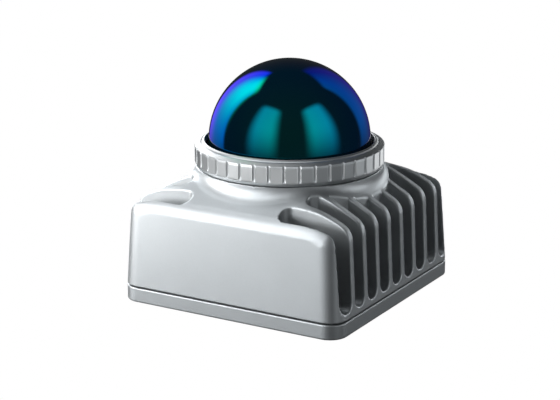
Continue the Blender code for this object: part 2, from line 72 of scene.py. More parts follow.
# Housing
CORNER_R = 4.8
CORNER_BLEND = 5.6
CORNER_BLEND_LOSS = 0.5
WALL_DRAFT = 0.05
SIDE_SHOULDER = {"wall_top": 23.3, "radius": 5.0, "slope": 0.543}
FRONT_SHOULDER = {"wall_top": 24.4, "radius": 4.5, "slope": 0.48}
ROOF_TOP = 33.0
NECK_R = 24.7
NECK_FLARE = 4.5
NECK_FLARE_COSINE = 0.45
THREAD_R = 23.4
CAVITY_HALF = (22.3, 29.3)
CAVITY_TOP = 22.0
CAVITY_CORNER_R = 3.0
LEDGE_BORE = {"radius": 18.5, "top": 25.0}
NECK_BORE = {"radius": 21.0, "bottom": 24.0}
SEAL_GROOVE = {"radius": 22.4, "half": 0.5, "depth": 0.9}
SCREW_HOLE = {"radius": 1.5, "low": 0.0, "high": 5.4}
FRAME_SCREW_AT = (19.5, 14.0)
FRAME_SCREW_HOLE = {"radius": 1.4, "low": 20.0, "high": 24.9}
SLOT_PITCH = 6.83
SLOT_HALF = 2.45
SLOT_FLOOR_X = 24.0
SLOT_BOTTOM = 5.9
SLOT_SCOOP_R = 3.0
SLOT_ROOF_FLOOR = 23.6
OUTER_SLOT_INNER_X = 13.3
NEXT_SLOT_INNER_X = 17.3
SLOT_NECK_R = 26.2
SLOT_EDGE_R = 0.32
SLOT_END_R = 0.3
SLOT_TURN_R = 3.0
SLOT_FLOOR_EDGE_R = 0.8
SEAM_EDGE_R = 0.3

# Base
FOOT_EDGE_R = 0.5
BOSS = {"half": 10, "corner": 1.0, "low": 1.0, "top": 5.0}
POSTS_AT = [(x, y) for x in (-19.0, 19.0) for y in (-25.5, 19.5)]
POST = {"radius": 2.4, "low": 1.0, "high": 7.7}
POST_HOLE = {"radius": 1.3, "low": 4.4, "high": 9.0}
GASKET_GROOVE = {"inside": (29.8, 2.4), "outside": (31.3, 3.6), "bottom": 3.0}
COUNTERBORE = {"radius": 2.5, "low": -1.0, "high": 1.9}
SCREW_PASSAGE = {"radius": 1.5, "low": -1.0, "high": 9.0}
MOUNT_HOLE = {"radius": 1.25, "low": -1.0, "high": 3.2}
VENT_POCKET = {"radius": 3.0, "low": -1.0, "high": 1.4}
VENT_HOLE = {"radius": 0.8, "low": -1.0, "high": 9.0}
BASE_CUT_EDGE_R = 0.18

# Clamp ring
RING_EDGE_Z = 39.5
RING_PADS = 40
PAD_BOTTOM = 35.3
GROOVE_HALF = 0.45
GROOVE_DEPTH = 0.36
GROOVE_STEPS = 11
PAD_STEPS = 5
# The fine step on the ring's top, as radius and depth
STEP_GROOVE = [(23.0, 0.0), (23.12, 0.05), (23.2, 0.28), (23.42, 0.28), (23.5, 0.05), (23.62, 0.0)]
LIP_R = 22.4
LIP_BOTTOM = 39.0

# Window
DOME_R = 21.35
DOME_WALL = 1.4
DOME_CENTRE = DOME_TOP - DOME_R
FLANGE_R = 23.1
FLANGE_TOP = 37.8
SEAL_WIRE_R = 0.35

# Inlet and fasteners
INLET_Z = 13.9
INLET_R = 6.0
INLET_FACE = {"radius": 8.7, "y": 31.3}
INLET_HOLE_FROM = 27.0
INLET_EDGE_R = 0.2
THREAD_PITCH = 1.0
THREAD_DEPTH = 0.42
FIT_GAP = 0.3
MOUNT_HOLE_AT = 20.0
CORNER_SCREW_AT = 25.6
VENT_AT = (0.0, 26.5)

# Camera
CAMERA_AZIMUTH = 30.184
CAMERA_ELEVATION = 16.221
CAMERA_DISTANCE = 468.615
CAMERA_TARGET_Z = 23.778


# Distance fields: each function takes coordinate arrays and gives the distance to a shape, less than 0 inside

def fillet(a, b, radius, cosine=0.0):
    """The overlap of two shapes, with the edge between them rounded.

    cosine is that of the angle between the two shapes' normals.
    """
    a, b = a + radius, b + radius
    rounded = np.sqrt(np.maximum(a * a + b * b - 2 * a * b * cosine, 0.0) / (1 - cosine * cosine))
    return np.where((a > b * cosine) & (b > a * cosine), rounded, np.maximum(a, b)) - radius


def soft_overlap(a, b, width):
    """The overlap of two shapes, blended over a width that may change from place to place."""
    near = np.maximum(width - np.abs(a - b), 0.0)
    return np.maximum(a, b) + near * near / (4 * np.maximum(width, 1e-6))


def merge(a, b, radius, cosine=0.0):
    """Two shapes as one, with the inner edge between them rounded."""
    return -fillet(-a, -b, radius, cosine)


def carve(body, tool, radius):
    """A body less a tool, with the cut's edges rounded."""
    return fillet(body, -tool, radius)


def pillar(x, y, z, places, radius, low, high):
    """Upright round bars or holes at each (x, y)."""
    across = np.minimum.reduce([np.hypot(x - px, y - py) for px, py in places]) - radius
    return np.maximum(across, np.maximum(low - z, z - high))


def four(across_x, across_y):
    """The four mirrored places of a point."""
    return [(sx * across_x, sy * across_y) for sx in (-1, 1) for sy in (-1, 1)]


def shoulder(out, z, wall_top, radius, slope):
    """A leaning wall that turns over a round shoulder into a sloped roof, and how far its normal looks up."""
    lean, pitch = math.atan(WALL_DRAFT), math.atan(slope)
    beyond = out - (HALF - WALL_DRAFT * (wall_top - BASE_TOP) - radius)
    above = z - wall_top
    wall = beyond * math.cos(lean) + above * math.sin(lean) - radius
    roof = beyond * math.sin(pitch) + above * math.cos(pitch) - radius
    rise = np.clip(above / np.maximum(np.hypot(beyond, above), 1e-6), math.sin(lean), math.cos(pitch))
    return fillet(wall, roof, radius, math.sin(lean + pitch)), rise


def slots(x, y, z):
    """All the cooling slots of both sides: round-nosed, scooped at the foot and open over the shoulder."""
    place = np.clip(np.round(y / SLOT_PITCH), -4, 4)
    across = np.abs(y - place * SLOT_PITCH) - SLOT_HALF
    inner = np.select([np.abs(place) == 4, np.abs(place) == 3], [OUTER_SLOT_INNER_X, NEXT_SLOT_INNER_X], 0.0)
    depth = np.abs(x)
    wall_part = fillet(SLOT_FLOOR_X - depth, SLOT_BOTTOM - z, SLOT_SCOOP_R)
    roof_part = np.maximum(inner - depth, SLOT_ROOF_FLOOR - z)
    end_r = np.where(np.abs(place) > 2, SLOT_HALF, SLOT_END_R)
    ends = np.maximum(fillet(across, inner - depth, end_r), fillet(across, SLOT_BOTTOM - z, SLOT_HALF))
    floor_part = merge(wall_part, roof_part, SLOT_TURN_R)
    slot = np.maximum(ends, fillet(across, floor_part, SLOT_FLOOR_EDGE_R))
    return np.maximum(slot, SLOT_NECK_R - np.hypot(x, y))


def hollow(x, y, z):
    """The space inside the housing: board cavity, ledge opening, neck bore, seal groove and screw holes."""
    radius = np.hypot(x, y)
    space = fillet(np.abs(x) - CAVITY_HALF[0], np.abs(y) - CAVITY_HALF[1], CAVITY_CORNER_R)
    space = np.maximum(space, z - CAVITY_TOP)
    space = np.minimum(space, np.maximum(radius - LEDGE_BORE["radius"], z - LEDGE_BORE["top"]))
    space = np.minimum(space, np.maximum(radius - NECK_BORE["radius"], NECK_BORE["bottom"] - z))
    groove = np.abs(radius - SEAL_GROOVE["radius"]) - SEAL_GROOVE["half"]
    space = np.minimum(space, np.maximum(groove, NECK_TOP - SEAL_GROOVE["depth"] - z))
    space = np.minimum(space, pillar(x, y, z, four(CORNER_SCREW_AT, CORNER_SCREW_AT), **SCREW_HOLE))
    return np.minimum(space, pillar(x, y, z, four(*FRAME_SCREW_AT), **FRAME_SCREW_HOLE))


def inlet_seat(x, y, z):
    """The flat round face and the hole that the inlet sits in."""
    radius = np.hypot(x, z - INLET_Z)
    face = np.maximum(radius - INLET_FACE["radius"], INLET_FACE["y"] - y)
    return np.minimum(face, np.maximum(radius - INLET_R - FIT_GAP, INLET_HOLE_FROM - y))


def housing(x, y, z):
    """The casting: leaning walls and roof, flared neck, slots, inlet seat and the space inside."""
    side, side_rise = shoulder(np.abs(x), z, **SIDE_SHOULDER)
    front, front_rise = shoulder(np.abs(y), z, **FRONT_SHOULDER)
    body = soft_overlap(side, front, CORNER_BLEND * (1 - CORNER_BLEND_LOSS * side_rise * front_rise))
    body = np.maximum(body, z - ROOF_TOP)
    radius = np.hypot(x, y)
    neck = np.maximum(radius - NECK_R, z - (RING_BOTTOM - FIT_GAP))
    body = merge(body, neck, NECK_FLARE, NECK_FLARE_COSINE)
    body = fillet(body, HOUSING_BOTTOM - z, SEAM_EDGE_R)
    body = np.minimum(body, np.maximum(radius - THREAD_R, z - NECK_TOP))
    body = carve(body, slots(x, y, z), SLOT_EDGE_R)
    body = carve(body, inlet_seat(x, y, z), INLET_EDGE_R)
    return np.maximum(body, -hollow(x, y, z))


def rounded_square(x, y, half, radius):
    """An upright square bar with round corners, without end."""
    return fillet(np.abs(x) - half, np.abs(y) - half, radius)


def base(x, y, z):
    """The base plate with its inner boss, board posts, gasket groove and holes."""
    plate = fillet(rounded_square(x, y, HALF, CORNER_R), z - BASE_TOP, SEAM_EDGE_R)
    plate = fillet(plate, -z, FOOT_EDGE_R)
    boss = np.maximum(rounded_square(x, y, BOSS["half"], BOSS["corner"]), z - BOSS["top"])
    plate = np.minimum(plate, np.maximum(boss, BOSS["low"] - z))
    plate = np.minimum(plate, pillar(x, y, z, POSTS_AT, **POST))
    inside = rounded_square(x, y, *GASKET_GROOVE["inside"])
    outside = rounded_square(x, y, *GASKET_GROOVE["outside"])
    cuts = np.maximum(np.maximum(outside, -inside), GASKET_GROOVE["bottom"] - z)
    screws = four(CORNER_SCREW_AT, CORNER_SCREW_AT)
    mounts = four(MOUNT_HOLE_AT, MOUNT_HOLE_AT)
    for places, hole in ((POSTS_AT, POST_HOLE), (screws, COUNTERBORE), (screws, SCREW_PASSAGE),
                         (mounts, MOUNT_HOLE), ([VENT_AT], VENT_POCKET), ([VENT_AT], VENT_HOLE)):
        cuts = np.minimum(cuts, pillar(x, y, z, places, **hole))
    return carve(plate, cuts, BASE_CUT_EDGE_R)


def stops(*spans):
    """Grid lines from (start, end, spacing) spans."""
    lines = [np.arange(round((end - start) / step)) * step + start for start, end, step in spans]
    return np.append(np.concatenate(lines), spans[-1][1])


def surface_net(distance, xs, ys, zs):
    """Points and four-sided faces where a distance field crosses zero, one point for each crossed cell."""
    lines = (xs, ys, zs)
    grid = distance(*np.meshgrid(*lines, indexing="ij"))
    inside = grid < 0
    cells = tuple(n - 1 for n in grid.shape)
    total = np.zeros(cells + (3,))
    count = np.zeros(cells)
    crossings = []
    for axis in range(3):
        first = [slice(None)] * 3
        second = [slice(None)] * 3
        first[axis], second[axis] = slice(None, -1), slice(1, None)
        at = np.argwhere(inside[tuple(first)] != inside[tuple(second)])
        ahead = at + np.eye(3, dtype=int)[axis]
        low, high = grid[tuple(at.T)], grid[tuple(ahead.T)]
        share = low / (low - high)
        points = np.stack([lines[i][at[:, i]] for i in range(3)], 1)
        points[:, axis] += share * (lines[axis][ahead[:, axis]] - lines[axis][at[:, axis]])
        others = [i for i in range(3) if i != axis]
        around = []
        for da, db in ((0, 0), (1, 0), (1, 1), (0, 1)):
            cell = at.copy()
            cell[:, others[0]] -= da
            cell[:, others[1]] -= db
            around.append(cell)
            np.add.at(total, tuple(cell.T), points)
            np.add.at(count, tuple(cell.T), 1)
        flip = (low < 0) == (axis == 1)
        crossings.append((np.stack(around, 1), flip))
    used = count > 0
    number = np.full(cells, -1)
    number[used] = np.arange(used.sum())
    points = total[used] / count[used][:, None]
    faces = []
    for around, flip in crossings:
        quads = number[tuple(around.reshape(-1, 3).T)].reshape(-1, 4)
        quads[flip] = quads[flip][:, ::-1]
        faces.append(quads)
    return points, np.concatenate(faces)


def slope_of(distance, points, step=0.02):
    """The gradient of a distance field at each point."""
    columns = []
    for axis in range(3):
        ahead, behind = points.copy(), points.copy()
        ahead[:, axis] += step
        behind[:, axis] -= step
        columns.append((distance(*ahead.T) - distance(*behind.T)) / (2 * step))
    return np.stack(columns, 1)


def shell(name, distance, xs, ys, zs):
    """A mesh of a distance field's surface, its points and normals set on the exact shape."""
    points, faces = surface_net(distance, xs, ys, zs)
    for _ in range(3):
        slope = slope_of(distance, points)
        size = np.maximum((slope ** 2).sum(1), 0.25)
        move = np.clip(distance(*points.T) / size, -0.2, 0.2)
        points = points - slope * move[:, None]
    normals = slope_of(distance, points)
    normals /= np.linalg.norm(normals, axis=1)[:, None]
    obj = solid(name, points, faces)
    obj.data.normals_split_custom_set_from_vertices(normals)
    return obj


def solid(name, points, faces):
    """An object from points in millimetres and faces, shaded smooth."""
    mesh = bpy.data.meshes.new(name)
    mesh.from_pydata((np.asarray(points) * MM).tolist(), [], np.asarray(faces).tolist())
    mesh.shade_smooth()
    obj = bpy.data.objects.new(name, mesh)
    bpy.context.scene.collection.objects.link(obj)
    return obj


# Turned shapes

def rounded(profile, steps=5):
    """Replace each (r, z, radius) corner of a closed profile by an arc that touches both its sides."""
    points = []
    count = len(profile)
    for i, (r, z, radius) in enumerate(profile):
        here = Vector((r, z))
        before = Vector(profile[i - 1][:2]) - here
        after = Vector(profile[(i + 1) % count][:2]) - here
        if not radius:
            points.append((r, z))
            continue
        half = before.angle(after) / 2
        reach = min(radius / math.tan(half), before.length * 0.49, after.length * 0.49)
        radius = reach * math.tan(half)
        centre = here + (before.normalized() + after.normalized()).normalized() * radius / math.sin(half)
        start, end = here + before.normalized() * reach, here + after.normalized() * reach
        first = math.atan2(start.y - centre.y, start.x - centre.x)
        sweep = math.atan2(end.y - centre.y, end.x - centre.x) - first
        sweep = (sweep + math.pi) % math.tau - math.pi
        for k in range(steps + 1):
            angle = first + sweep * k / steps
            points.append((centre.x + radius * math.cos(angle), centre.y + radius * math.sin(angle)))
    return points


def lathe(name, profile, steps, closed=True, sharp=40.0, place=None):
    """Turn a profile of (r, z) points about Z; place then moves the points."""
    profile = np.array(profile, float)
    angles = np.arange(steps) * math.tau / steps
    r, z = profile[:, 0], profile[:, 1]
    points = np.stack([np.outer(np.cos(angles), r), np.outer(np.sin(angles), r),
                       np.broadcast_to(z, (steps, len(z)))], 2)
    return grid_solid(name, place(points) if place else points, closed, sharp)


def on_inlet(points):
    """Turn points that stand along Z so that they lie along +Y on the inlet's axis."""
    return np.stack([points[..., 0], points[..., 2], INLET_Z - points[..., 1]], -1)


def grid_solid(name, points, closed=True, sharp=40.0):
    """A closed solid from points[angle, place along the profile]; points on the axis are made one."""
    steps, count = points.shape[:2]
    faces = []
    for i in range(steps):
        here, ahead = i * count, (i + 1) % steps * count
        for a in range(count if closed else count - 1):
            b = (a + 1) % count
            faces.append((here + a, ahead + a, ahead + b, here + b))
    obj = solid(name, points.reshape(-1, 3), faces)
    weld_and_sharpen(obj, sharp)
    return obj


def weld_and_sharpen(obj, sharp):
    """Make one of points that meet, turn the faces outward, and mark edges over sharp degrees."""
    bm = bmesh.new()
    bm.from_mesh(obj.data)
    bmesh.ops.remove_doubles(bm, verts=bm.verts, dist=1e-7)
    bmesh.ops.recalc_face_normals(bm, faces=bm.faces)
    bm.to_mesh(obj.data)
    bm.free()
    obj.data.shade_smooth()
    obj.data.set_sharp_from_angle(angle=math.radians(sharp))


# Materials

def add(tree, kind, settings=None, **inputs):
    """Add a node. A socket given for an input is linked to it, and anything else is its value."""
    item = tree.nodes.new("ShaderNode" + kind)
    for key, value in (settings or {}).items():
        setattr(item, key, value)
    for key, value in inputs.items():
        socket = item.inputs[key.replace("_", " ")]
        if isinstance(value, bpy.types.NodeSocket):
            tree.links.new(value, socket)
        else:
            socket.default_value = value
    return item


def new_material(name):
    """A material with its node tree, its shader and the object coordinates."""
    material = bpy.data.materials.new(name)
    material.use_nodes = True
    tree = material.node_tree
    return material, tree, tree.nodes["Principled BSDF"], add(tree, "TexCoord").outputs["Object"]


def two_tones(tree, factor, dark, light, low=0.3, high=0.7):
    """A colour between two, by a factor."""
    ramp = add(tree, "ValToRGB", Fac=factor)
    ramp.color_ramp.elements[0].position, ramp.color_ramp.elements[1].position = low, high
    ramp.color_ramp.elements[0].color = (*dark, 1.0)
    ramp.color_ramp.elements[1].color = (*light, 1.0)
    return ramp.outputs["Color"]


def spread(tree, factor, low, high):
    """A noise factor's usual range stretched over low to high."""
    return add(tree, "MapRange", Value=factor, From_Min=0.3, From_Max=0.7, To_Min=low,
               To_Max=high).outputs["Result"]


def tinted(colour, share):
    """A colour made darker or lighter."""
    return tuple(min(1.0, value * share) for value in colour)


def surface(name, colour, roughness, metallic=0.0, grain=3000.0, bump=0.15, depth=0.00002, shift=0.06,
            rough_shift=0.05, **sockets):
    """A material with fine grain in its relief and roughness, and slow drifts in its colour."""
    material, tree, shader, place = new_material(name)
    fine = add(tree, "TexNoise", Vector=place, Scale=grain, Detail=4.0, Roughness=0.6).outputs["Fac"]
    broad = add(tree, "TexNoise", Vector=place, Scale=grain / 40, Detail=3.0).outputs["Fac"]
    colours = two_tones(tree, broad, tinted(colour, 1 - shift), tinted(colour, 1 + shift))
    relief = add(tree, "Bump", Strength=bump, Distance=depth, Height=fine).outputs["Normal"]
    tree.links.new(colours, shader.inputs["Base Color"])
    tree.links.new(spread(tree, fine, roughness - rough_shift, roughness + rough_shift),
                   shader.inputs["Roughness"])
    tree.links.new(relief, shader.inputs["Normal"])
    shader.inputs["Metallic"].default_value = metallic
    for key, value in sockets.items():
        shader.inputs[key.replace("_", " ")].default_value = value
    return material


def circuit_board(name):
    """Green solder mask over a net of copper tracks, with gold pads."""
    material, tree, shader, place = new_material(name)
    tracks = add(tree, "TexBrick", {"offset": 0.37, "squash_frequency": 3}, Vector=place, Scale=420.0,
                 Mortar_Size=0.02, Color1=(0.010, 0.16, 0.07, 1), Color2=(0.012, 0.19, 0.085, 1),
                 Mortar=(0.03, 0.33, 0.15, 1))
    cells = add(tree, "TexVoronoi", Vector=place, Scale=650.0).outputs["Distance"]
    pads = add(tree, "Math", {"operation": "LESS_THAN"}, Value=cells)
    pads.inputs[1].default_value = 0.12
    mix = add(tree, "Mix", {"data_type": "RGBA"})
    tree.links.new(pads.outputs[0], mix.inputs[0])
    tree.links.new(tracks.outputs["Color"], mix.inputs[6])
    mix.inputs[7].default_value = (0.75, 0.55, 0.22, 1)
    tree.links.new(mix.outputs[2], shader.inputs["Base Color"])
    tree.links.new(pads.outputs[0], shader.inputs["Metallic"])
    tree.links.new(spread(tree, tracks.outputs["Fac"], 0.32, 0.5), shader.inputs["Roughness"])
    relief = add(tree, "Bump", Strength=0.3, Distance=0.00005, Height=tracks.outputs["Fac"])
    tree.links.new(relief.outputs["Normal"], shader.inputs["Normal"])
    return material


def wound(name, colour, roughness, metallic, pitch, direction="Z"):
    """Close parallel turns, as on a winding or a turned face."""
    material, tree, shader, place = new_material(name)
    turns = add(tree, "TexWave", {"wave_type": "BANDS", "bands_direction": direction}, Vector=place,
                Scale=pitch, Distortion=0.6, Detail=2.0).outputs["Fac"]
    tree.links.new(two_tones(tree, turns, tinted(colour, 0.6), tinted(colour, 1.15)),
                   shader.inputs["Base Color"])
    tree.links.new(spread(tree, turns, roughness + 0.1, roughness), shader.inputs["Roughness"])
    relief = add(tree, "Bump", Strength=0.4, Distance=0.00006, Height=turns)
    tree.links.new(relief.outputs["Normal"], shader.inputs["Normal"])
    shader.inputs["Metallic"].default_value = metallic
    return material


def coated_window(name):
    """Dark infrared-pass plastic under an interference coating."""
    material, tree, shader, place = new_material(name)
    haze = add(tree, "TexNoise", Vector=place, Scale=90.0, Detail=3.0).outputs["Fac"]
    tree.links.new(two_tones(tree, haze, (0.003, 0.011, 0.014), (0.004, 0.014, 0.018)),
                   shader.inputs["Base Color"])
    tree.links.new(spread(tree, haze, 0.05, 0.08), shader.inputs["Roughness"])
    shader.inputs["IOR"].default_value = 3.4
    shader.inputs["Thin Film Thickness"].default_value = 262.0
    shader.inputs["Thin Film IOR"].default_value = 1.87
    return material


LOOKS = {
    "housing_silver": surface("housing_silver", (0.46, 0.475, 0.483), 0.48, 0.92, grain=2600.0, bump=0.5,
                              depth=0.00004, shift=0.025),
    "ring_silver": surface("ring_silver", (0.63, 0.65, 0.66), 0.42, 1.0, grain=4200.0, bump=0.12, shift=0.02),
    "window_coating": coated_window("window_coating"),
    "seal_rubber": surface("seal_rubber", (0.02, 0.02, 0.021), 0.75, grain=2200.0, bump=0.4, shift=0.2),
    "screw_steel": wound("screw_steel", (0.55, 0.55, 0.56), 0.25, 1.0, 1500.0),
    "inlet_metal": wound("inlet_metal", (0.62, 0.62, 0.6), 0.25, 1.0, 1200.0, "Y"),
    "black_plastic": surface("black_plastic", (0.025, 0.025, 0.027), 0.5, grain=3500.0, bump=0.3, shift=0.15),
    "contact_gold": surface("contact_gold", (0.85, 0.60, 0.24), 0.22, 1.0, grain=5000.0, bump=0.08),
    "board_green": circuit_board("board_green"),
    "pad_grey": surface("pad_grey", (0.42, 0.50, 0.58), 0.85, grain=1500.0, bump=0.5),
    "chip_black": surface("chip_black", (0.022, 0.022, 0.025), 0.42, grain=5200.0, bump=0.25, shift=0.12),
    "ferrite_dark": surface("ferrite_dark", (0.10, 0.10, 0.11), 0.6, 0.3, grain=3000.0, bump=0.5, shift=0.15),
    "frame_black": surface("frame_black", (0.028, 0.028, 0.032), 0.38, 0.7, grain=3800.0, bump=0.15),
    "stator_copper": wound("stator_copper", (0.72, 0.33, 0.15), 0.3, 0.9, 1400.0),
    "magnet_nickel": surface("magnet_nickel", (0.50, 0.49, 0.47), 0.25, 1.0, grain=2500.0, bump=0.15),
    "bearing_steel": wound("bearing_steel", (0.62, 0.62, 0.62), 0.15, 1.0, 2500.0),
    "optic_glass": surface("optic_glass", (0.85, 0.95, 0.95), 0.04, grain=400.0, bump=0.02, shift=0.01,
                           rough_shift=0.01, Transmission_Weight=1.0),
    "mirror_coating": surface("mirror_coating", (0.93, 0.90, 0.82), 0.04, 1.0, grain=600.0, bump=0.01,
                              shift=0.01, rough_shift=0.015),
    "weight_brass": wound("weight_brass", (0.78, 0.60, 0.27), 0.25, 1.0, 1300.0),
    "film_amber": surface("film_amber", (0.62, 0.29, 0.04), 0.3, grain=2500.0, bump=0.1,
                          Transmission_Weight=0.2),
}
SLOT_OF = {part["node"]: part["material_slot"] for part in frame["record"]["subparts"]}


def finish_nodes():
    """Give every CAD node the finished material of its slot."""
    for name, obj in frame["nodes"].items():
        for slot in obj.material_slots:
            slot.material = LOOKS[SLOT_OF[name]]


def stand_in(obj, node, body="chassis"):
    """Dress a fine piece as its CAD node is, hide that node, and let it ride."""
    obj.data.materials.append(LOOKS[SLOT_OF[node]])
    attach(obj, body)
    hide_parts(node)


# The pieces

def housing_shell():
    """The casting on a grid that is fine where the shape turns."""
    half = stops((0, 12.4, 0.8), (12.4, 33.2, 0.4))
    xs = np.concatenate([-half[:0:-1], half])
    ys = stops((-33.2, 33.2, 0.4))
    zs = stops((4.0, 4.8, 0.2), (4.8, 14.0, 0.4), (14.0, 20.8, 0.8), (20.8, 36.4, 0.4))
    stand_in(shell("housing_shell", housing, xs, ys, zs), "upper_housing")


def base_tray():
    """The base plate on a grid that is fine at its edges."""
    lines = stops((-33.0, 33.0, 0.5))
    zs = stops((-0.3, 0.7, 0.2), (0.7, 3.1, 0.4), (3.1, 5.1, 0.2), (5.1, 8.1, 0.6))
    stand_in(shell("base_tray", base, lines, lines, zs), "base_plate")


def ring_angles():
    """Angles round the ring, close together in each groove, with how deep the groove is there."""
    pitch = math.tau / RING_PADS
    groove = GROOVE_HALF / RING_R
    inside = np.linspace(-1, 1, GROOVE_STEPS)
    pad = np.concatenate([[groove * 1.25], np.linspace(groove * 1.8, pitch - groove * 1.8, PAD_STEPS),
                          [pitch - groove * 1.25]])
    offsets = np.concatenate([inside * groove, pad])
    depths = np.concatenate([(1 - np.abs(inside) ** 1.7) * GROOVE_DEPTH, np.zeros(len(pad))])
    angles = np.concatenate([offsets + pitch * k for k in range(RING_PADS)])
    return angles, np.tile(depths, RING_PADS), np.tile(offsets, RING_PADS)


def cone_z(r):
    """Height of the ring's sloped top at a radius."""
    return RING_TOP - (RING_TOP - RING_EDGE_Z) * (r - LIP_R) / (RING_R - LIP_R)


def clamp_ring():
    """Forty flat grip pads between round grooves, under a sloped top with a fine step at its inner edge."""
    angles, depths, offsets = ring_angles()
    pitch = math.tau / RING_PADS
    middle = offsets - pitch / 2
    apothem = RING_R * math.cos(pitch / 2)
    rows = []
    for angle, depth, off in zip(angles, depths, middle):
        pad = min(apothem / math.cos(off), RING_R) - depth
        row = [(LIP_R, LIP_BOTTOM), (LIP_R, RING_TOP - 0.15), (LIP_R + 0.12, RING_TOP - 0.06)]
        row += [(r, cone_z(r) - sunk) for r, sunk in STEP_GROOVE]
        row += [(r, cone_z(r)) for r in np.linspace(STEP_GROOVE[-1][0], pad - 0.2, 5)[1:]]
        row += [(pad - 0.08, cone_z(pad - 0.08)), (pad, cone_z(pad) - 0.07)]
        row += [(pad, z) for z in np.linspace(cone_z(pad) - 0.07, PAD_BOTTOM + 0.5, 6)[1:]]
        row += [(pad + depth * 0.25, 35.6), (pad + depth * 0.6, 35.4), (pad + depth - 0.02, PAD_BOTTOM - 0.1)]
        row += [(24.9, 35.0), (24.66, 34.42), (24.52, RING_BOTTOM)]
        row += [(THREAD_R + FIT_GAP, RING_BOTTOM), (THREAD_R + FIT_GAP, LIP_BOTTOM)]
        rows.append([(r * math.cos(angle), r * math.sin(angle), z) for r, z in row])
    stand_in(grid_solid("grip_ring", np.array(rows), sharp=50.0), "clamp_ring")


def window():
    """A half-sphere shell on a short flange that the clamp ring holds down."""
    flange_low = NECK_TOP + FIT_GAP
    rise = [math.radians(90 - 90 * i / 60) for i in range(61)]
    outer = [(DOME_R * math.cos(a), DOME_CENTRE + DOME_R * math.sin(a)) for a in rise]
    inside_r = DOME_R - DOME_WALL
    inner = [(inside_r * math.cos(a), DOME_CENTRE + inside_r * math.sin(a)) for a in reversed(rise)]
    flange = rounded([(DOME_R, FLANGE_TOP + 0.01, 0.0), (FLANGE_R, FLANGE_TOP, 0.2),
                      (FLANGE_R, flange_low, 0.2), (inside_r, flange_low, 0.2)])
    profile = outer + flange + inner
    stand_in(lathe("dome_shell", profile[::-1], 160, closed=False), "dome_window")


def soft_rings():
    """The flat gasket over the window's flange, and the O-ring under it."""
    low, high, edge = FLANGE_TOP + FIT_GAP, LIP_BOTTOM - FIT_GAP, 0.15
    gasket = rounded([(DOME_R + FIT_GAP, low, edge), (FLANGE_R, low, edge), (FLANGE_R, high, edge),
                      (DOME_R + FIT_GAP, high, edge)])
    stand_in(lathe("clamp_gasket_ring", gasket, 128), "clamp_gasket")
    turn = [math.tau * i / 16 for i in range(16)]
    wire = [(SEAL_GROOVE["radius"] + SEAL_WIRE_R * math.cos(a), NECK_TOP - 0.2 + SEAL_WIRE_R * math.sin(a))
            for a in turn]
    stand_in(lathe("dome_o_ring", wire, 128), "dome_seal")


def inlet_shell():
    """The threaded barrel of the inlet, with its flange and a chamfered mouth."""
    steps = 96
    angles = np.arange(steps) * math.tau / steps
    seat = corners("inlet_shell")[0][1]
    flange = rounded([(INLET_R, 34.4, 0.1), (8.3, 34.4, 0.35), (8.3, 31.6, 0.2), (INLET_R, 31.6, 0.1)])
    tail = [(INLET_R, seat + 0.3), (INLET_R - 0.3, seat), (4.8, seat)]
    mouth = [(4.8, 38.6), (4.95, 38.75), (4.95, INLET_END - 0.25), (5.1, INLET_END), (5.35, INLET_END)]
    heights = np.arange(INLET_END - 0.3, 34.9, -0.1)
    rings = []
    for angle in angles:
        phase = (heights / THREAD_PITCH - angle / math.tau) % 1.0
        cut = np.clip(1.5 - 3.0 * np.abs(phase - 0.5), 0.0, 1.0) * THREAD_DEPTH
        fade = np.clip((heights - 34.9) / 0.5, 0.0, 1.0) * np.clip((INLET_END - heights) / 0.8, 0.3, 1.0)
        outer = INLET_R - cut * fade - np.clip(0.5 - (INLET_END - heights), 0.0, 0.5)
        row = mouth + list(zip(outer, heights)) + [(INLET_R - 0.3, 34.8)] + flange + tail
        rings.append([(r * math.cos(angle), r * math.sin(angle), z) for r, z in row])
    stand_in(grid_solid("inlet_barrel", on_inlet(np.array(rings)), sharp=35.0), "inlet_shell")


def inlet_inside():
    """The moulded insert with its stepped face, and the round-tipped pins that stand in it."""
    low = corners("inlet_insert")[0][1]
    face = rounded([(0.0, 35.6, 0.0), (3.9, 35.6, 0.15), (3.9, 35.3, 0.1), (4.5, 35.3, 0.12), (4.5, low, 0.2),
                    (0.0, low, 0.0)])
    stand_in(lathe("inlet_core", face, 64, place=on_inlet), "inlet_insert")
    parts = []
    places = [(3.1, math.tau * k / 9) for k in range(9)] + [(1.2, math.tau * k / 3) for k in range(3)]
    pin = rounded([(0.0, 39.3, 0.0), (0.4, 39.3, 0.28), (0.4, 35.9, 0.0), (0.0, 35.9, 0.0)])
    for r, angle in places:
        centre = np.array([r * math.cos(angle), r * math.sin(angle), 0.0])
        parts.append(lathe("pin", pin, 20, place=lambda points: on_inlet(points + centre)))
    carrier = rounded([(0.0, 36.3, 0.0), (4.4, 36.3, 0.1), (4.4, 35.9, 0.1), (0.0, 35.9, 0.0)])
    parts.append(lathe("inlet_pins", carrier, 64, place=on_inlet))
    stand_in(joined(parts), "inlet_contacts")


def joined(parts):
    """Put the meshes of all the parts into the last one."""
    with bpy.context.temp_override(active_object=parts[-1], selected_editable_objects=parts):
        bpy.ops.object.join()
    return parts[-1]


